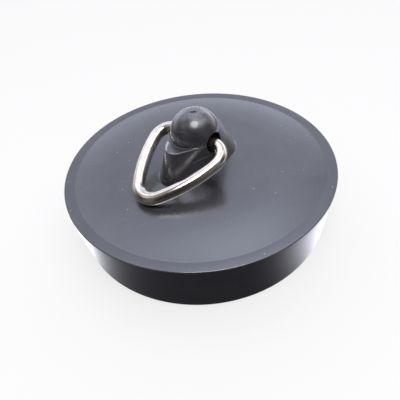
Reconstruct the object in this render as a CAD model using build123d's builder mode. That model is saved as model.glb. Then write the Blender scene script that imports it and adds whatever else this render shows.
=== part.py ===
from build123d import *
from math import acos, asin, atan2, cos, degrees, hypot, pi, sin
import os

os.makedirs("parts", exist_ok=True)

# A moulded waste plug: a tapered disc that stands on its foot, with a wire pull ring hinged in a lug on top.
# The origin is the middle of the foot. The ring's hinge runs along X, and the ring is folded towards -Y.

# Disc
rim_radius = 22.75
foot_radius = 21.75
disc_height = 9.7
rim_band = 1.75
rim_edge_bevel = 0.15
foot_edge_bevel = 0.3
panel_crown = 0.3
panel_flat_radius = 13.0
skirt_wall = 2.4
plate_thickness = 3.2
recess_draft = 0.5
recess_corner_bevel = 0.8

# Lug, its heights measured from the rim
column_radius = 4.1
column_head_radius = 4.15
column_foot_radius = 4.5
dome_height = 10.05
hole_height = 5.75
hole_radius = 1.58
parting_height = 5.95
ledge_bevel = 0.35
fin_foot_radius = 3.7
fin_head_radius = 1.65
front_fin_foot_offset = 4.4
front_fin_head_offset = 4.65
back_fin_foot_offset = 4.7
back_fin_head_offset = 3.6
gate_radius = 0.5
gate_depth = 0.2

# Pull ring, measured to the middle of its wire
wire_radius = 1.05
wire_end_gap = 0.2
ring_half_width = 6.45
ring_reach = 13.0
ring_corner_radius = 2.6
ring_tip_radius = 2.9
ring_leg_radius = 21.5

# Clearances of the ring in its hole and on the panel
hinge_clearance = 0.08
rest_clearance = 0.06

panel_level = disc_height + panel_crown
parting_level = disc_height + parting_height
hole_level = disc_height + hole_height
dome_level = disc_height + dome_height

# Tapered disc and lug, one moulding
with BuildPart() as stopper_body:
    # Disc: a drafted skirt under a plate, whose panel rolls down to the rim band
    with BuildSketch(Plane.XZ) as disc_half:
        ceiling_level = disc_height - plate_thickness
        recess_radius = foot_radius - skirt_wall
        ceiling_radius = recess_radius - recess_draft
        panel_radius = rim_radius - rim_band
        with BuildLine():
            Polyline((0, panel_level), (0, ceiling_level), (ceiling_radius, ceiling_level), (recess_radius, 0))
            Polyline((recess_radius, 0), (foot_radius, 0), (rim_radius, disc_height), (panel_radius, disc_height))
            TangentArc((panel_flat_radius, panel_level), (panel_radius, disc_height), tangent=(1, 0))
            Line((panel_flat_radius, panel_level), (0, panel_level))
        make_face()
        rim_corners = disc_half.vertices().group_by(Axis.Y)[2]
        chamfer(rim_corners.sort_by(Axis.X)[-1], rim_edge_bevel)
        ceiling_corners = disc_half.vertices().group_by(Axis.Y)[1]
        chamfer(ceiling_corners.sort_by(Axis.X)[-1], recess_corner_bevel)
        foot_corners = disc_half.vertices().group_by(Axis.Y)[0]
        chamfer(foot_corners, foot_edge_bevel)
    revolve(axis=Axis.Z)

    # Lower lug: a column with a fin in front and one behind, drafted up to a bevelled ledge
    head_circles = (column_head_radius, fin_head_radius, front_fin_head_offset, back_fin_head_offset)
    ledge_circles = (column_head_radius - ledge_bevel, fin_head_radius - ledge_bevel, *head_circles[2:])
    sections = {
        disc_height: (column_foot_radius, fin_foot_radius, front_fin_foot_offset, back_fin_foot_offset),
        parting_level: head_circles,
        parting_level + ledge_bevel: ledge_circles,
    }
    for level, (middle_radius, fin_radius, front_offset, back_offset) in sections.items():
        with BuildSketch(Plane.XY.offset(level)):
            Circle(middle_radius)
            with Locations((0, -front_offset), (0, back_offset)):
                Circle(fin_radius)
            make_hull()
    loft(ruled=True)

    # Column and its dome
    with BuildSketch(Plane.XZ):
        dome_centre = dome_level - column_radius
        with BuildLine():
            Polyline((0, dome_level), (0, disc_height), (column_radius, disc_height), (column_radius, dome_centre))
            RadiusArc((column_radius, dome_centre), (0, dome_level), -column_radius)
        make_face()
    revolve(axis=Axis.Z)

    # Hinge hole through the lug, and the mark of the gate on the dome
    with BuildSketch(Plane.YZ):
        with Locations((0, hole_level)):
            Circle(hole_radius)
    extrude(amount=rim_radius, both=True, mode=Mode.SUBTRACT)
    gate_sphere_radius = (gate_radius**2 + gate_depth**2) / (2 * gate_depth)
    with Locations((0, 0, dome_level - gate_depth + gate_sphere_radius)):
        Sphere(gate_sphere_radius, mode=Mode.SUBTRACT)

stopper_body.part.label = "stopper_body"
export_step(stopper_body.part, "parts/stopper_body.step")

# Pull ring: one bent wire of tangent arcs, whose ends meet inside the lug
hinge_level = hole_level - hole_radius + hinge_clearance + wire_radius
rest_drop = hinge_level - panel_level - wire_radius - rest_clearance
rest_angle = degrees(asin(rest_drop / ring_reach))
ring_plane = Plane(origin=(0, 0, hinge_level), x_dir=(1, 0, 0), z_dir=(0, 0, -1)).rotated((rest_angle, 0, 0))

# Each bowed leg touches the corner arc and the tip arc, which gives the triangle of their three centres
corner_x = ring_half_width - ring_corner_radius
tip_y = ring_reach - ring_tip_radius
corner_to_tip = hypot(corner_x, tip_y - ring_corner_radius)
corner_to_leg = ring_leg_radius - ring_corner_radius
tip_to_leg = ring_leg_radius - ring_tip_radius
angle_at_corner = acos((corner_to_leg**2 + corner_to_tip**2 - tip_to_leg**2) / (2 * corner_to_leg * corner_to_tip))
angle_at_leg = acos((corner_to_leg**2 + tip_to_leg**2 - corner_to_tip**2) / (2 * corner_to_leg * tip_to_leg))
leg_start = atan2(tip_y - ring_corner_radius, -corner_x) + angle_at_corner - pi
leg_end = leg_start + angle_at_leg
leg_centre = (corner_x - corner_to_leg * cos(leg_start), ring_corner_radius - corner_to_leg * sin(leg_start))

with BuildPart() as pull_ring:
    with BuildLine(ring_plane) as wire_path:
        Line((wire_end_gap / 2, 0), (corner_x, 0))
        CenterArc((corner_x, ring_corner_radius), ring_corner_radius, -90, 90 + degrees(leg_start))
        CenterArc(leg_centre, ring_leg_radius, degrees(leg_start), degrees(angle_at_leg))
        CenterArc((0, tip_y), ring_tip_radius, degrees(leg_end), 90 - degrees(leg_end))
        mirror(about=Plane.YZ)
    with BuildSketch(Plane(wire_path.wire() @ 0, z_dir=wire_path.wire() % 0)):
        Circle(wire_radius)
    sweep()

pull_ring.part.label = "pull_ring"
export_step(pull_ring.part, "parts/pull_ring.step")
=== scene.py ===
import math

import bmesh
import bpy
import numpy as np
from mathutils import Matrix, Vector


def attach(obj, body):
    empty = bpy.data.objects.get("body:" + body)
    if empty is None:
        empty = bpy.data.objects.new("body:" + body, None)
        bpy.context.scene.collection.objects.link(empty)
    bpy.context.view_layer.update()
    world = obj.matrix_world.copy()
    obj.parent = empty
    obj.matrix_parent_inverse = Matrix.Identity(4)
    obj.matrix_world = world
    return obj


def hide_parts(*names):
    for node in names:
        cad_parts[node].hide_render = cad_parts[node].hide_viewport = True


# A moulded sink plug with a bright wire pull ring, folded down on it. Sizes in the dictionaries are in
# millimetres.
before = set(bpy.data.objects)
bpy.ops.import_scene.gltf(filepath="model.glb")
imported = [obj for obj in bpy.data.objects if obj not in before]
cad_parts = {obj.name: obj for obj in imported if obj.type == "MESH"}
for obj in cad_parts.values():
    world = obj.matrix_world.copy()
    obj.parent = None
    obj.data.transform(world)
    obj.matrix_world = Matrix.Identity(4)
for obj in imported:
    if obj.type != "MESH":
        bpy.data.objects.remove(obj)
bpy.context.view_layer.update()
mm = 0.001
print("frame loaded:", sorted(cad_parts))


# Nodes, for materials and for geometry alike
class Sock:
    def __init__(self, maker, socket):
        self.maker = maker
        self.socket = socket

    def out(self, name):  # another output of the same node
        return Sock(self.maker, self.socket.node.outputs[name])

    def maths(self, operation, *others, clamp=False):
        settings = {"operation": operation, "use_clamp": clamp}
        return self.maker.add("ShaderNodeMath", settings, dict(enumerate((self, *others))))

    def vector(self, operation, other, output=0):
        key = "Scale" if operation == "SCALE" else 1
        return self.maker.add("ShaderNodeVectorMath", {"operation": operation}, {0: self, key: other}, output)

    def __add__(self, other):
        return self.maths("ADD", other)

    def __radd__(self, other):
        return self + other

    def __sub__(self, other):
        return self.maths("SUBTRACT", other)

    def __rsub__(self, other):
        return self * -1 + other

    def __mul__(self, other):
        return self.maths("MULTIPLY", other)

    def __rmul__(self, other):
        return self * other

    def __truediv__(self, other):
        return self.maths("DIVIDE", other)

    def __pow__(self, other):
        return self.maths("POWER", other)


class NodeMaker:
    def __init__(self, tree):
        self.tree = tree
        tree.nodes.clear()

    def add(self, kind, settings=None, inputs=None, output=0):
        node = self.tree.nodes.new(kind)
        for name, value in (settings or {}).items():
            setattr(node, name, value)
        for key, value in (inputs or {}).items():
            if isinstance(value, Sock):
                self.tree.links.new(value.socket, node.inputs[key])
            else:
                node.inputs[key].default_value = value
        return Sock(self, node.outputs[output] if node.outputs else None)

    def smooth(self, value, low, high):  # 0 below low, 1 above high
        settings = {"interpolation_type": "SMOOTHSTEP"}
        return self.add("ShaderNodeMapRange", settings, {"Value": value, "From Min": low, "From Max": high})

    def mix(self, factor, first, second):
        settings = {"data_type": "RGBA", "clamp_factor": True}
        return self.add("ShaderNodeMix", settings, {0: factor, 6: first, 7: second}, 2)

    def noise(self, place, scale, detail=2.0, roughness=0.5):
        inputs = {"Vector": place, "Scale": scale, "Detail": detail, "Roughness": roughness}
        return self.add("ShaderNodeTexNoise", None, inputs)


# Camera
view = {
    "place": (37.611, -37.611, 52.466),
    "lookAt": (6.294, -6.866, 9.7),
    "roll": -6.63,
    "focal": 35.955,
    "sensor": 36.0,
}


def makeCamera():
    data = bpy.data.cameras.new("camera")
    data.lens = view["focal"]
    data.sensor_width = view["sensor"]
    data.clip_start = mm
    camera = bpy.data.objects.new("camera", data)
    bpy.context.scene.collection.objects.link(camera)
    place = Vector(view["place"]) * mm
    sight = Vector(view["lookAt"]) * mm - place
    turn = sight.to_track_quat("-Z", "Y").to_matrix() @ Matrix.Rotation(math.radians(view["roll"]), 3, "Z")
    camera.matrix_world = Matrix.Translation(place) @ turn.to_4x4()
    bpy.context.scene.camera = camera


makeCamera()
print("camera placed")


# Materials
def newMaterial(name):
    material = bpy.data.materials.new(name)
    material.use_nodes = True
    return material, NodeMaker(material.node_tree)


def placeInMm(n):
    return n.add("ShaderNodeTexCoord", output="Object").vector("SCALE", 1 / mm)


# A mark along a straight line from start to end: 1 up to core, a share of width, and 0 from width away
def stroke(n, place, start, end, width, core=0.35):
    along = Vector(end) - Vector(start)
    offset = place.vector("SUBTRACT", Vector(start))
    share = offset.vector("DOT_PRODUCT", along, "Value") / along.length_squared
    share = share.maths("MULTIPLY", 1, clamp=True)
    nearest = n.add("ShaderNodeVectorMath", {"operation": "SCALE"}, {0: along, "Scale": share})
    distance = offset.vector("DISTANCE", nearest, "Value")
    return 1 - n.smooth(distance, width * core, width)


plastic = {
    "dark": (0.04, 0.039, 0.045, 1),
    "light": (0.051, 0.05, 0.057, 1),
    "wornAndHighlight": (0.62, 0.61, 0.58, 1),
    "dust": (0.42, 0.43, 0.46, 1),
    "roughness": 0.27,
    "smoothRoughness": 0.15,
    "refraction": 1.6,
    "sheen": 0.6,
    "sheenRoughness": 0.18,
    "sheenRefraction": 1.6,
    "gloss": 1.0,
    "glossTint": (0.87, 0.91, 1.0, 1),
    "cloudScale": 0.22,
    "grainScale": 9.0,
    "patchScale": 2.6,
    "breakScale": 5.0,
    "rimLightening": 0.12,
    "rimLighteningFrom": 22.6,
    "rimLighteningTo": 22.7,
    "valleyRadius": 20.88,
    "valleyLightening": 0.1,
    "panelEdge": 21.0,
    "edgeBlend": 0.2,
    "bumpStrength": 0.6,
    "bumpDepth": 0.03,
    "speckCore": 0.05,
    "speckRadius": 0.13,
    "dustPerMm": 0.5,
    "dustLevel": 0.35,
    "specks": (
        (-14.57, -16.6), (-8.54, -20.54), (5.84, 16.55), (-1.12, -15.16), (9.83, 14.8), (-13.99, -3.47),
        (12.99, 5.68), (-5.17, -12.63), (11.58, -0.27), (-13.39, -6.65), (20.83, 7.35), (19.9, -9.46),
        (14.77, 0.96), (-9.84, -6.94), (-13.15, 4.86), (15.37, 8.09),
    ),
    # Marks as (start, end, width, strength): scratches on the panel, then scars of the mould on the lug. Of
    # the lug's marks, the four on the back fin are partly flash lines and partly painted highlights, and the
    # three strongest, at the left end of the ledge, are a painted highlight of the lamp.
    "scratches": (
        ((2.82, -15.2, 10.0), (3.87, -17.77, 9.95), 0.1, 0.05),
        ((2.75, -15.74, 10.0), (3.26, -16.81, 9.97), 0.08, 0.05),
    ),
    "mouldMarksAndHighlights": (
        ((-0.08, -3.48, 17.82), (1.12, -3.18, 17.99), 0.12, 0.12),
        ((0.04, -3.86, 17.04), (0.08, -4.1, 16.2), 0.13, 0.3),
        ((-0.15, -4.16, 16.11), (1.19, -3.91, 16.06), 0.13, 0.25),
        ((0.1, -6.17, 15.68), (0.97, -5.98, 15.6), 0.14, 0.35),
        ((0.97, -5.98, 15.6), (1.57, -5.29, 15.57), 0.14, 0.3),
        ((2.98, -4.09, 13.58), (4.02, -1.45, 13.85), 0.15, 0.16),
        ((2.2, 3.3, 17.3), (3.6, 1.72, 16.6), 0.16, 0.4),
        ((0.88, 4.93, 15.65), (1.96, 4.82, 14.36), 0.17, 0.4),
        ((1.96, 4.82, 14.36), (2.97, 3.88, 13.52), 0.17, 0.35),
        ((1.75, 5.69, 13.38), (3.11, 3.57, 13.56), 0.13, 0.2),
        ((-1.95, -4.35, 15.7), (-1.28, -4.48, 15.85), 0.3, 1.0),
        ((-1.9, -4.45, 15.7), (-1.35, -5.28, 15.7), 0.32, 1.0),
        ((-1.35, -5.28, 15.7), (-0.7, -5.93, 15.68), 0.2, 0.9),
        ((-0.7, -7.67, 10.86), (0.04, -7.74, 10.88), 0.14, 0.15),
    ),
    "gateScar": (0.24, -0.18, 19.6),
    "gateScarRadius": 1.75,
    "gateScarBlend": 0.35,
    "gateScarWear": 0.24,
    "pitScale": 4.2,
    "pitRelief": 3.5,
}


def makePlastic():
    p = plastic
    material, n = newMaterial("slatePlastic")
    place = placeInMm(n)
    axes = n.add("ShaderNodeSeparateXYZ", None, {0: place})
    height = axes.out("Z")
    radius = (axes.out("X") ** 2 + axes.out("Y") ** 2).maths("SQRT")

    clouds = n.noise(place, p["cloudScale"], 4.0, 0.6)
    grain = n.noise(place, p["grainScale"], 3.0, 0.7)
    colour = n.mix(n.smooth(clouds, 0.3, 0.7), p["dark"], p["light"])

    # Marks: a patchy lighter rim corner, a patchy lighter line along the valley inside the rim band at the
    # front, scratches, mould scars and painted highlights on the lug
    patchy = n.noise(place, p["patchScale"], 2.0, 0.6)
    atRim = n.smooth(radius, p["rimLighteningFrom"], p["rimLighteningTo"]) * n.smooth(height, 9.55, 9.65)
    rimLightening = atRim * n.smooth(patchy, 0.5, 0.75) * p["rimLightening"]
    valley = 1 - n.smooth((radius - p["valleyRadius"]).maths("ABSOLUTE"), 0.03, 0.09)
    front = n.smooth(axes.out("Y") * -1, 15.5, 17.0) * n.smooth(height, 9.5, 9.65)
    valley = valley * front * n.smooth(patchy, 0.5, 0.56) * p["valleyLightening"]
    scuffsAndHighlights = rimLightening.maths("MAXIMUM", valley)
    breaks = n.smooth(n.noise(place, p["breakScale"], 2.0, 0.6), 0.36, 0.5)
    # Painted highlights go in here with the scuffs: the strongest marks at the left end of the ledge, and
    # part of those on the back fin.
    for start, end, width, strength in p["scratches"] + p["mouldMarksAndHighlights"]:
        scuffsAndHighlights = scuffsAndHighlights.maths("MAXIMUM", stroke(n, place, start, end, width) * strength)
    scuffsAndHighlights = scuffsAndHighlights * (breaks * 0.7 + 0.3)

    # The rough spot round the gate
    toGate = place.vector("DISTANCE", Vector(p["gateScar"]), "Value")
    scar = 1 - n.smooth(toGate, p["gateScarRadius"] - p["gateScarBlend"], p["gateScarRadius"])
    pits = n.noise(place, p["pitScale"], 3.0, 0.7)
    scuffsAndHighlights = scuffsAndHighlights.maths("MAXIMUM", scar * n.smooth(pits, 0.48, 0.6) * p["gateScarWear"])

    # Dust: the specks that show most, and finer ones in about four cells of ten
    flatPlace = n.add("ShaderNodeCombineXYZ", None, {"X": axes.out("X"), "Y": axes.out("Y")})
    nearest = 99.0 + height * 0
    for speck in p["specks"]:
        nearest = nearest.maths("MINIMUM", flatPlace.vector("DISTANCE", Vector((*speck, 0)), "Value"))
    specks = (1 - n.smooth(nearest, p["speckCore"], p["speckRadius"])) * n.smooth(height, 9.4, 9.6)
    cells = {"Vector": place, "Scale": p["dustPerMm"], "Randomness": 1.0}
    cell = n.add("ShaderNodeTexVoronoi", {"voronoi_dimensions": "3D"}, cells, "Distance")
    lot = n.add("ShaderNodeSeparateColor", None, {0: cell.out("Color")}, "Red")
    dust = (1 - n.smooth(cell, 0.02, 0.05)) * n.smooth(lot, 0.6, 0.62) * p["dustLevel"]
    specks = specks.maths("MAXIMUM", dust)

    colour = n.mix(scuffsAndHighlights, colour, p["wornAndHighlight"])
    colour = n.mix(specks * 0.8, colour, p["dust"])
    # The panel and the lug are satin. The rim band, the wall and the underside are smoother.
    satin = 1 - n.smooth(radius, p["panelEdge"] - p["edgeBlend"], p["panelEdge"])
    satin = satin * n.smooth(height, 9.4, 9.5)
    rough = satin * (p["roughness"] - p["smoothRoughness"]) + p["smoothRoughness"]
    rough = rough + (clouds - 0.5) * 0.06 + (grain - 0.5) * 0.05 + (scuffsAndHighlights + specks + scar) * 0.2
    relief = grain * 0.15 + scuffsAndHighlights * 0.4 + pits * scar * p["pitRelief"]
    depth = p["bumpDepth"] * mm
    bump = n.add("ShaderNodeBump", None, {"Strength": p["bumpStrength"], "Distance": depth, "Height": relief})
    surface = n.add("ShaderNodeBsdfPrincipled", None, {
        "Base Color": colour, "Roughness": rough, "IOR": p["refraction"],
        "Specular IOR Level": p["gloss"], "Specular Tint": p["glossTint"], "Normal": bump,
        "Coat Weight": p["sheen"], "Coat Roughness": p["sheenRoughness"], "Coat IOR": p["sheenRefraction"],
    })
    n.add("ShaderNodeOutputMaterial", None, {"Surface": surface})
    return material


nickel = {
    "bright": (0.83, 0.79, 0.73, 1),
    "dull": (0.68, 0.60, 0.51, 1),
    "tarnishAndWarmReflection": (0.46, 0.36, 0.29, 1),
    "roughness": 0.09,
    "patchScale": 0.9,
    "fineScale": 14.0,
    "pinHalfLength": 3.4,
    "pinBlend": 1.8,
    "pinReach": 1.3,
    "reachBlend": 0.9,
    "pinRub": 0.25,
    "bumpStrength": 0.1,
    "bumpDepth": 0.02,
}


def makeNickel():
    w = nickel
    material, n = newMaterial("brightNickel")
    place = placeInMm(n)
    patches = n.noise(place, w["patchScale"], 4.0, 0.6)
    fine = n.noise(place, w["fineScale"], 2.0, 0.6)
    colour = n.mix(n.smooth(patches, 0.4, 0.75), w["bright"], w["dull"])
    # The straight side, which turns in the lug, is rubbed dull and painted browner: partly tarnish, partly a
    # painted reflection of the warm room in the hole
    axes = n.add("ShaderNodeSeparateXYZ", None, {0: place})
    alongHinge = axes.out("X").maths("ABSOLUTE")
    fromHinge = axes.out("Y").maths("ABSOLUTE")
    straight = 1 - n.smooth(alongHinge, w["pinHalfLength"], w["pinHalfLength"] + w["pinBlend"])
    pin = straight * (1 - n.smooth(fromHinge, w["pinReach"], w["pinReach"] + w["reachBlend"]))
    colour = n.mix(pin, colour, w["tarnishAndWarmReflection"])
    rough = w["roughness"] + (patches - 0.5) * 0.08 + (fine - 0.5) * 0.06 + pin * w["pinRub"]
    depth = w["bumpDepth"] * mm
    bump = n.add("ShaderNodeBump", None, {"Strength": w["bumpStrength"], "Distance": depth, "Height": fine})
    surface = n.add("ShaderNodeBsdfPrincipled", None, {
        "Base Color": colour, "Metallic": 1.0, "Roughness": rough, "Normal": bump,
    })
    n.add("ShaderNodeOutputMaterial", None, {"Surface": surface})
    return material


slatePlastic = makePlastic()
brightNickel = makeNickel()
print("materials made")


# Geometry Nodes
def newTree(name, inputs):
    tree = bpy.data.node_groups.new(name, "GeometryNodeTree")
    n = NodeMaker(tree)
    face = tree.interface
    sockets = {"Geometry": face.new_socket("Geometry", in_out="INPUT", socket_type="NodeSocketGeometry")}
    for label, kind in inputs.items():
        sockets[label] = face.new_socket(label, in_out="INPUT", socket_type=kind)
    face.new_socket("Geometry", in_out="OUTPUT", socket_type="NodeSocketGeometry")
    return n, n.add("NodeGroupInput"), sockets


def endTree(n, geometry, material):
    smoothed = n.add("GeometryNodeSetShadeSmooth", None, {"Geometry": geometry})
    real = n.add("GeometryNodeRealizeInstances", None, {"Geometry": smoothed})
    made = n.add("GeometryNodeSetMaterial", None, {"Geometry": real, "Material": material})
    n.add("NodeGroupOutput", None, {0: made})


# Turns the profile, a curve in the XZ plane, once round the Z axis
def makeTurnTree():
    n, given, sockets = newTree("turnedProfile", {
        "Segments": "NodeSocketInt", "Merge": "NodeSocketFloat", "Material": "NodeSocketMaterial",
    })
    curve = {"component": "CURVE"}
    count = n.add("GeometryNodeAttributeDomainSize", curve, {"Geometry": given}, "Point Count")
    columns = given.out("Segments") + 1
    grid = n.add("GeometryNodeMeshGrid", None, {"Vertices X": columns, "Vertices Y": count})
    index = n.add("GeometryNodeInputIndex")
    column = (index / count).maths("FLOOR")
    row = index - column * count
    position = n.add("GeometryNodeInputPosition")
    sample = {"data_type": "FLOAT_VECTOR", "domain": "POINT"}
    point = n.add("GeometryNodeSampleIndex", sample, {"Geometry": given, "Value": position, "Index": row})
    axes = n.add("ShaderNodeSeparateXYZ", None, {0: point})
    angle = column / given.out("Segments") * math.tau
    turned = n.add("ShaderNodeCombineXYZ", None, {
        "X": axes.out("X") * angle.maths("COSINE"),
        "Y": axes.out("X") * angle.maths("SINE"),
        "Z": axes.out("Z"),
    })
    net = n.add("GeometryNodeSetPosition", None, {"Geometry": grid, "Position": turned})
    closed = n.add("GeometryNodeMergeByDistance", None, {"Geometry": net, "Distance": given.out("Merge")})
    endTree(n, closed, given.out("Material"))
    return n.tree, sockets


# Draws a round wire along the path
def makeWireTree():
    n, given, sockets = newTree("wireAlongPath", {
        "Radius": "NodeSocketFloat", "Sides": "NodeSocketInt", "Waver": "NodeSocketFloat",
        "Waver Scale": "NodeSocketFloat", "Material": "NodeSocketMaterial",
    })
    position = n.add("GeometryNodeInputPosition")
    waver = (n.noise(position, given.out("Waver Scale"), 1.0) - 0.5) * given.out("Waver") + 1
    ring = n.add("GeometryNodeCurvePrimitiveCircle", {"mode": "RADIUS"}, {
        "Resolution": given.out("Sides"), "Radius": given.out("Radius"),
    })
    wire = n.add("GeometryNodeCurveToMesh", None, {
        "Curve": given, "Profile Curve": ring, "Scale": waver, "Fill Caps": True,
    })
    endTree(n, wire, given.out("Material"))
    return n.tree, sockets


def curveFrom(name, points):
    data = bpy.data.curves.new(name, "CURVE")
    data.dimensions = "3D"
    spline = data.splines.new("POLY")
    spline.points.add(len(points) - 1)
    spline.points.foreach_set("co", np.column_stack([points, np.ones(len(points))]).ravel())
    return data


# The mesh that a tree makes from a curve
def grow(name, points, tree, sockets, values):
    source = bpy.data.objects.new(name + "Source", curveFrom(name, points))
    bpy.context.scene.collection.objects.link(source)
    modifier = source.modifiers.new("nodes", "NODES")
    modifier.node_group = tree
    for label, value in values.items():
        modifier[sockets[label].identifier] = value
    graph = bpy.context.evaluated_depsgraph_get()
    mesh = bpy.data.meshes.new_from_object(source.evaluated_get(graph))
    bpy.data.objects.remove(source)
    mesh.name = name
    return mesh


def addPiece(name, mesh):
    piece = bpy.data.objects.new(name, mesh)
    bpy.context.scene.collection.objects.link(piece)
    return piece


# Corners of a profile rounded by short curves: corners are (radius, height, rounding, steps)
def roundedProfile(corners, mostOfRun=0.49):
    made = []
    for i, (x, z, rounding, steps) in enumerate(corners):
        here = Vector((x, z))
        if not rounding:
            made.append(here)
            continue
        before = Vector(corners[i - 1][:2]) - here
        after = Vector(corners[i + 1][:2]) - here
        half = before.angle(after) / 2
        reach = min(rounding / math.tan(half), before.length * mostOfRun, after.length * mostOfRun)
        middle = here + (before.normalized() + after.normalized()).normalized() * reach / math.cos(half)
        start = here + before.normalized() * reach - middle
        sweep = start.angle_signed(here + after.normalized() * reach - middle)
        for k in range(steps + 1):
            turn = -sweep * k / steps
            made.append(middle + Matrix.Rotation(turn, 2) @ start)
    return made


# More points along the straight runs, none longer than step
def divided(points, step):
    made = [points[0]]
    for a, b in zip(points, points[1:]):
        count = max(1, math.ceil((b - a).length / step))
        made += [a.lerp(b, (k + 1) / count) for k in range(count)]
    return made


disc = {
    "rimRadius": 22.75, "footRadius": 21.75, "height": 9.7, "band": 1.75, "crown": 0.3, "flatRadius": 13.0,
    "valley": 0.12, "valleyRounding": 0.25, "rimRounding": 0.17, "footRounding": 0.35, "skirtWall": 2.4,
    "plate": 3.2, "recessDraft": 0.5, "recessRounding": 0.9, "seamRadius": 11.0, "segments": 384,
    "step": 1.6, "rollSteps": 12, "valleySteps": 4, "cornerSteps": 8, "merge": 1e-7, "seamMerge": 2e-7,
}


# The disc: from the circle round the lug over the rim, down the wall and in to the middle of the underside
def makeDisc():
    d = disc
    steps = d["cornerSteps"]
    ceiling = d["height"] - d["plate"]
    recess = d["footRadius"] - d["skirtWall"]
    panelEdge = d["rimRadius"] - d["band"]
    top = d["height"] + d["crown"]
    fall = [(d["seamRadius"], top, 0, 0), (d["flatRadius"], top, 0, 0)]
    drop = d["crown"] + d["valley"]
    for k in range(1, d["rollSteps"]):  # the panel rolls down like a parabola, to the rising rim band
        share = k / d["rollSteps"]
        fall.append((d["flatRadius"] + (panelEdge - d["flatRadius"]) * share, top - drop * share**2, 0, 0))
    profile = roundedProfile(fall + [
        (panelEdge, top - drop, d["valleyRounding"], d["valleySteps"]),
        (d["rimRadius"], d["height"], d["rimRounding"], steps),
        (d["footRadius"], 0.0, d["footRounding"], steps),
        (recess, 0.0, d["footRounding"], steps),
        (recess - d["recessDraft"], ceiling, d["recessRounding"], steps),
        (0.0, ceiling, 0, 0),
    ])
    profile = divided(profile, d["step"])
    points = [(p.x * mm, 0.0, p.y * mm) for p in profile]
    tree, sockets = makeTurnTree()
    values = {"Segments": d["segments"], "Merge": d["merge"], "Material": slatePlastic}
    return grow("disc", points, tree, sockets, values)


lug = {
    "columnRadius": 4.1, "headRadius": 4.15, "footRadius": 4.5, "domeHeight": 10.05, "partingHeight": 5.95,
    "ledgeSlope": -0.16, "finFoot": 3.7, "finHead": 1.65, "frontFoot": 4.4, "frontHead": 4.65,
    "backFoot": 4.7, "backHead": 3.6, "edgeRounding": 0.24, "rootRounding": 0.2, "neckRounding": 0.15,
    "flash": 0.035, "gate": (0.24, -0.18), "gateAngle": 41.0, "gateLength": 0.56, "gateWidth": 0.19,
    "gateDepth": 0.4, "gateSlope": 2.2, "gateRing": 1.55, "gateRingWidth": 0.12, "gateRingDepth": 0.02,
    "gateDish": 1.1, "gateDishDepth": 0.035, "gateLevel": 9.0, "neckToDome": 0.2, "rootSteps": 6,
    "edgeSteps": 8, "neckSteps": 6, "panelRows": 6, "flankRows": 20, "ledgeRows": 6, "domeRows": 64,
    "domeCrowding": 1.25, "sharpAngle": 38,
}


# How far a hull of three circles in a row along Y reaches from the axis, in each direction
def hullReach(angles, middle, fin, front, back, directions=2880, leastAhead=0.05):
    facing = np.linspace(0, math.tau, directions + 1)[:-1]
    support = np.maximum(middle, fin + np.maximum(-front * np.sin(facing), back * np.sin(facing)))
    reach = []
    for angle in angles:
        across = np.cos(facing - angle)
        ahead = across > leastAhead
        reach.append((support[ahead] / across[ahead]).min())
    return np.array(reach)


# A point of the dome's outline, as (radius, height above the rim)
def domePoint(rise):
    g = lug
    middle = g["domeHeight"] - g["columnRadius"]
    return g["columnRadius"] * math.cos(rise), middle + g["columnRadius"] * math.sin(rise)


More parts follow.
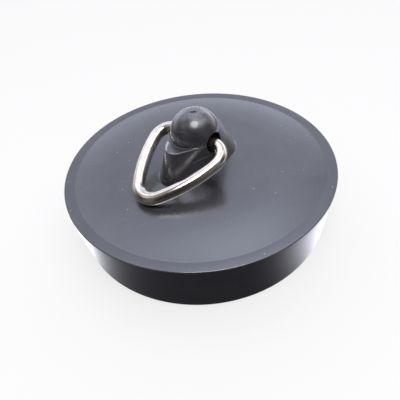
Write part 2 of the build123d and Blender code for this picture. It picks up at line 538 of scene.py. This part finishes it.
# The patch inside the disc's seam circle: panel, root, flank, ledge and dome, as one net of meridians
def makeLug():
    d, g = disc, lug
    base = d["height"]
    angles = np.arange(d["segments"]) / d["segments"] * math.tau
    foot = hullReach(angles, g["footRadius"], g["finFoot"], g["frontFoot"], g["backFoot"])
    head = hullReach(angles, g["headRadius"], g["finHead"], g["frontHead"], g["backHead"])
    domeMiddle = g["domeHeight"] - g["columnRadius"]
    rootCount = g["rootSteps"] + 1
    edgeEnd = 1 + rootCount + g["edgeSteps"]
    net = []
    for angle, footReach, headReach in zip(angles, foot, head):
        slope = (footReach - headReach) / g["partingHeight"]
        rise = (headReach - g["columnRadius"]) * g["ledgeSlope"]
        neckAngle = math.asin((g["partingHeight"] + rise - domeMiddle) / g["columnRadius"])
        corners = [
            (d["seamRadius"], d["crown"], 0, 0),
            (footReach - slope * d["crown"], d["crown"], g["rootRounding"], g["rootSteps"]),
            (headReach, g["partingHeight"], g["edgeRounding"], g["edgeSteps"]),
            (*domePoint(neckAngle), g["neckRounding"], g["neckSteps"]),
            (*domePoint(neckAngle + g["neckToDome"]), 0, 0),
        ]
        rounded = roundedProfile(corners)
        # The ledge opens with the edge's last point, and stops one short of the neck's last
        panel, flank = rounded[0], rounded[1:edgeEnd]
        ledge = rounded[edgeEnd:edgeEnd + g["neckSteps"] + 1]
        ridge = flank[rootCount + g["edgeSteps"] // 2]
        ridge.x += g["flash"]
        root, edge = flank[:rootCount], flank[rootCount:]
        rows = [panel.lerp(root[0], k / g["panelRows"]) for k in range(g["panelRows"])]
        rows += root
        rows += [root[-1].lerp(edge[0], k / g["flankRows"]) for k in range(1, g["flankRows"])]
        rows += edge
        rows += [edge[-1].lerp(ledge[0], k / g["ledgeRows"]) for k in range(1, g["ledgeRows"])]
        rows += ledge
        start = math.atan2(ledge[-1].y - domeMiddle, ledge[-1].x)
        for k in range(1, g["domeRows"]):
            turn = start + (math.pi / 2 - start) * (1 - (1 - k / g["domeRows"]) ** g["domeCrowding"])
            rows.append(Vector(domePoint(turn)))
        net.append([(p.x * math.cos(angle), p.x * math.sin(angle), p.y + base) for p in rows])
    net = np.array(net)
    top = np.array([[0.0, 0.0, g["domeHeight"] + base]])
    points = np.vstack([net.reshape(-1, 3), top])
    onDome = points[:, 2] > base + g["gateLevel"]
    points[:, 2] -= gateMark(points[:, 0], points[:, 1]) * onDome
    count = net.shape[1]
    faces = []
    for i in range(d["segments"]):
        here, there = i * count, (i + 1) % d["segments"] * count
        faces += [(here + k, there + k, there + k + 1, here + k + 1) for k in range(count - 1)]
        faces.append((here + count - 1, there + count - 1, len(points) - 1))
    mesh = bpy.data.meshes.new("lug")
    mesh.from_pydata(points * mm, [], faces)
    return mesh


# How deep the gate's scar is on the dome: an oval pit in a shallow dish, inside a faint groove
def gateMark(x, y):
    g = lug
    turn = math.radians(g["gateAngle"])
    across, along = x - g["gate"][0], y - g["gate"][1]
    u = (across * math.cos(turn) + along * math.sin(turn)) / g["gateLength"]
    v = (along * math.cos(turn) - across * math.sin(turn)) / g["gateWidth"]
    pit = g["gateDepth"] * np.clip(g["gateSlope"] - g["gateSlope"] * np.sqrt(u * u + v * v), 0, 1)
    groove = np.exp(-(((np.hypot(across, along) - g["gateRing"]) / g["gateRingWidth"]) ** 2))
    dish = g["gateDishDepth"] * (1 - np.clip(np.hypot(x, y) / g["gateDish"], 0, 1) ** 2)
    return pit + dish + g["gateRingDepth"] * groove


hole = {
    "height": 15.45, "radius": 1.58, "flareFrom": 3.4, "flareTo": 5.2, "flare": 1.0, "steps": 24,
    "segments": 96,
}


# The tool that cuts the hinge hole: a rod that widens where it leaves the lug
def makeHoleCutter():
    h = hole
    half = []
    for k in range(h["steps"] + 1):
        share = k / h["steps"]
        out = h["flareFrom"] + (h["flareTo"] - h["flareFrom"]) * share
        half.append((h["radius"] + h["flare"] * share**2, out))
    half = [(0.0, h["flareTo"])] + half[::-1]
    profile = half + [(r, -out) for r, out in reversed(half)]
    points = [(r * mm, 0.0, out * mm) for r, out in profile]
    tree, sockets = makeTurnTree()
    values = {"Segments": h["segments"], "Merge": disc["merge"], "Material": slatePlastic}
    mesh = grow("holeCutter", points, tree, sockets, values)
    mesh.transform(Matrix.Translation((0, 0, h["height"] * mm)) @ Matrix.Rotation(math.pi / 2, 4, "Y"))
    return mesh


def outward(mesh):
    work = bmesh.new()
    work.from_mesh(mesh)
    bmesh.ops.recalc_face_normals(work, faces=work.faces)
    work.to_mesh(mesh)
    work.free()


def makeBody():
    discMesh, lugMesh = makeDisc(), makeLug()
    work = bmesh.new()
    work.from_mesh(discMesh)
    work.from_mesh(lugMesh)
    bmesh.ops.remove_doubles(work, verts=work.verts, dist=disc["seamMerge"])
    bmesh.ops.recalc_face_normals(work, faces=work.faces)
    work.to_mesh(discMesh)
    work.free()
    cutterMesh = makeHoleCutter()
    outward(cutterMesh)
    piece = addPiece("plugBody", discMesh)
    cutter = addPiece("holeCutter", cutterMesh)
    cut = piece.modifiers.new("hole", "BOOLEAN")
    cut.operation = "DIFFERENCE"
    cut.solver = "EXACT"
    cut.object = cutter
    graph = bpy.context.evaluated_depsgraph_get()
    mesh = bpy.data.meshes.new_from_object(piece.evaluated_get(graph))
    piece.modifiers.clear()
    piece.data = mesh
    bpy.data.objects.remove(cutter)
    mesh.materials.clear()
    mesh.materials.append(slatePlastic)
    for face in mesh.polygons:
        face.material_index = 0
    mesh.shade_smooth()
    mesh.set_sharp_from_angle(angle=math.radians(lug["sharpAngle"]))
    return piece


body = makeBody()
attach(body, "stopper")
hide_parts("stopper_body")
print("plug body made:", len(body.data.polygons), "faces")


ring = {
    "wire": 1.05, "gap": 0.2, "halfWidth": 6.45, "reach": 13.0, "corner": 2.6, "tip": 2.9, "leg": 21.5,
    "hinge": 15.0, "tilt": 17.4114, "sides": 48, "waver": 0.012, "waverScale": 180.0, "straightSteps": 8,
    "legStep": 1.0, "sharpAngle": 50,
}


def arc(centre, radius, start, end, step=3.0):
    count = max(2, math.ceil(abs(end - start) / step))
    turns = [math.radians(start + (end - start) * k / count) for k in range(count + 1)]
    return [(centre[0] + radius * math.cos(t), centre[1] + radius * math.sin(t)) for t in turns]


# Half of the wire's middle line, from the gap in the hole to the tip, in the ring's own plane
def halfRing():
    r = ring
    cornerX = r["halfWidth"] - r["corner"]
    tipY = r["reach"] - r["tip"]
    cornerToTip = math.hypot(cornerX, tipY - r["corner"])
    cornerToLeg, tipToLeg = r["leg"] - r["corner"], r["leg"] - r["tip"]
    atCorner = math.acos((cornerToLeg**2 + cornerToTip**2 - tipToLeg**2) / (2 * cornerToLeg * cornerToTip))
    atLeg = math.acos((cornerToLeg**2 + tipToLeg**2 - cornerToTip**2) / (2 * cornerToLeg * tipToLeg))
    start = math.atan2(tipY - r["corner"], -cornerX) + atCorner - math.pi
    legMiddle = (cornerX - cornerToLeg * math.cos(start), r["corner"] - cornerToLeg * math.sin(start))
    first, last = math.degrees(start), math.degrees(start + atLeg)
    half, steps = r["gap"] / 2, r["straightSteps"]
    straight = [(half + (cornerX - half) * k / steps, 0.0) for k in range(steps)]
    path = straight + arc((cornerX, r["corner"]), r["corner"], -90, first)
    path += arc(legMiddle, r["leg"], first, last, r["legStep"])[1:]
    return path + arc((0.0, tipY), r["tip"], last, 90)[1:]


def makeRing():
    r = ring
    half = halfRing()
    path = half + [(-x, y) for x, y in reversed(half[:-1])]
    down = math.radians(r["tilt"])
    points = [(x, -y * math.cos(down), r["hinge"] - y * math.sin(down)) for x, y in path]
    tree, sockets = makeWireTree()
    values = {
        "Radius": r["wire"] * mm, "Sides": r["sides"], "Waver": r["waver"], "Waver Scale": r["waverScale"],
        "Material": brightNickel,
    }
    mesh = grow("pullRing", np.array(points) * mm, tree, sockets, values)
    outward(mesh)
    mesh.set_sharp_from_angle(angle=math.radians(r["sharpAngle"]))
    return addPiece("pullRing", mesh)


pullRing = makeRing()
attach(pullRing, "ring")
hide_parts("pull_ring")
print("pull ring made:", len(pullRing.data.polygons), "faces")


# Floor and light
stage = {
    "floorSize": 1200.0,
    "floorWhite": (0.93, 0.93, 0.93, 1),
    "floorBounce": (0.30, 0.30, 0.31, 1),
    "glowShare": 0.72,
    "patchTint": (0.96, 0.95, 1.06),
    "patchFloor": 0.04,
    "farFrom": 35,
    "farTo": 50,
    "fadeFrom": 80,
    "fadeTo": 130,
    "backTint": (0.92, 0.96, 1.12, 1),
    "sideTint": (1.04, 0.98, 0.99, 1),
    "backFrom": 0.6,
    "backTo": 0.9,
    "fill": 0.02,
    # The room's bright panels: turn from the camera's side, height in degrees, tightness, level. The levels
    # here and below were fitted to the photograph's brightness and then changed.
    "panels": (
        (120, 8, 18, 1.2), (150, 8, 18, 1.87), (180, 8, 18, 1.0), (210, 8, 18, 1.53), (240, 8, 18, 0.55),
        (50, 15, 14, 0.15), (310, 15, 14, 0.12), (160, 27, 24, 0.27), (200, 27, 24, 0.27),
        (110, 45, 34, 1.18), (152, 45, 34, 0.28), (171, 45, 34, 0.28), (189, 45, 34, 0.4),
        (228, 45, 34, 1.24), (275, 45, 34, 0.63), (35, 45, 14, 0.12), (325, 45, 14, 0.05),
        (60, 60, 44, 1.2), (90, 60, 44, 1.26), (115, 60, 44, 0.47), (160, 60, 44, 1.53), (180, 60, 44, 0.16),
        (200, 60, 44, 0.74), (222, 60, 44, 0.45), (300, 60, 44, 0.28), (60, 74, 44, 1.0), (180, 74, 44, 0.81),
        (0, 88, 30, 0.76),
    ),
    # Glowing patches of the floor, as gloss sees them, a painted light in the plug's reflections: turn,
    # tightness, level near the plug, level further out
    "patches": (
        (-84, 16, 3.9, 0.0), (-56, 14, 0.12, 0.0), (62, 18, 1.8, 0.0), (100, 6, 0.0, 1.35),
        (180, 6, 1.2, 1.8), (260, 6, 0.0, 0.42), (310, 6, 0.0, 0.33),
    ),
    "lampHeight": 73.0,
    "lampDistance": 350.0,
    "lampSize": 190.0,
    "lampPower": 0.42,
    "cameraTurn": -45.0,
}


# A direction, turned from the camera's side, at this many degrees above the horizon
def towards(turn, height):
    high, aside = math.radians(height), math.radians(stage["cameraTurn"] + turn)
    return Vector((math.cos(high) * math.cos(aside), math.cos(high) * math.sin(aside), math.sin(high)))


# The floor shows white to the camera. Gloss sees glowing patches, a painted light, brighter at the sides, and
# dark in front of the plug, a painted shadow of the plug.
def makeFloor():
    half = stage["floorSize"] / 2 * mm
    mesh = bpy.data.meshes.new("floor")
    corners = [(-half, -half, 0), (half, -half, 0), (half, half, 0), (-half, half, 0)]
    mesh.from_pydata(corners, [], [(0, 1, 2, 3)])
    material, n = newMaterial("paleFloor")
    place = placeInMm(n)
    radius = place.vector("LENGTH", (0, 0, 0), "Value")
    facing = place.vector("NORMALIZE", (0, 0, 0))
    further = n.smooth(radius, stage["farFrom"], stage["farTo"])
    reach = 1 - n.smooth(radius, stage["fadeFrom"], stage["fadeTo"])
    shine = reach * 0
    for turn, tightness, nearLevel, farLevel in stage["patches"]:
        nearness = facing.vector("DOT_PRODUCT", towards(turn, 0), "Value")
        level = further * (farLevel - nearLevel) + nearLevel
        shine = shine + ((nearness - 1) * tightness).maths("EXPONENT") * level
    path = n.add("ShaderNodeLightPath")
    seen = path.out("Is Camera Ray")
    mirrored = path.out("Is Glossy Ray").maths("MAXIMUM", path.out("Is Transmission Ray"))
    pale = n.mix(seen, stage["floorBounce"], stage["floorWhite"])
    lit = n.add("ShaderNodeBsdfDiffuse", None, {"Color": pale})
    white = n.add("ShaderNodeEmission", None, {"Color": (1, 1, 1, 1), "Strength": 1.0})
    shine = shine * reach + stage["patchFloor"]
    glow = n.add("ShaderNodeVectorMath", {"operation": "SCALE"}, {0: stage["patchTint"], "Scale": shine})
    # Painted light: the patches glow only for gloss, and leave a painted shadow in front of the plug.
    patches = n.add("ShaderNodeEmission", None, {"Color": glow, "Strength": 1.0})
    shown = n.add("ShaderNodeMixShader", None, {0: seen * stage["glowShare"], 1: lit, 2: white})
    surface = n.add("ShaderNodeMixShader", None, {0: mirrored, 1: shown, 2: patches})
    n.add("ShaderNodeOutputMaterial", None, {"Surface": surface})
    floor = addPiece("floor", mesh)
    mesh.materials.append(material)


# A dim room with broad bright panels behind and over the plug. The camera sees it white.
def makeWorld():
    world = bpy.data.worlds.new("studio")
    bpy.context.scene.world = world
    world.use_nodes = True
    n = NodeMaker(world.node_tree)
    way = n.add("ShaderNodeTexCoord", output="Generated").vector("NORMALIZE", (0, 0, 0))
    level = stage["fill"]
    for turn, height, tightness, strength in stage["panels"]:
        nearness = way.vector("DOT_PRODUCT", towards(turn, height), "Value")
        level = level + ((nearness - 1) * tightness).maths("EXPONENT") * strength
    behind = way.vector("DOT_PRODUCT", towards(180, 35), "Value")
    atBack = n.smooth(behind, stage["backFrom"], stage["backTo"])
    tint = n.mix(atBack, stage["sideTint"], stage["backTint"])
    room = n.add("ShaderNodeBackground", None, {"Color": tint, "Strength": level})
    white = n.add("ShaderNodeBackground", None, {"Color": (1, 1, 1, 1), "Strength": 1.0})
    camera = n.add("ShaderNodeLightPath", output="Is Camera Ray")
    surface = n.add("ShaderNodeMixShader", None, {0: camera, 1: room, 2: white})
    n.add("ShaderNodeOutputWorld", None, {"Surface": surface})


def makeLamp():
    data = bpy.data.lights.new("softLamp", "AREA")
    data.shape = "DISK"
    data.size = stage["lampSize"] * mm
    data.energy = stage["lampPower"]
    lamp = bpy.data.objects.new("softLamp", data)
    bpy.context.scene.collection.objects.link(lamp)
    lamp.location = towards(0, stage["lampHeight"]) * stage["lampDistance"] * mm
    lamp.rotation_euler = (-lamp.location).to_track_quat("-Z", "Y").to_euler()


makeFloor()
makeWorld()
makeLamp()
bpy.context.scene.view_settings.view_transform = "Standard"
print("stage set")
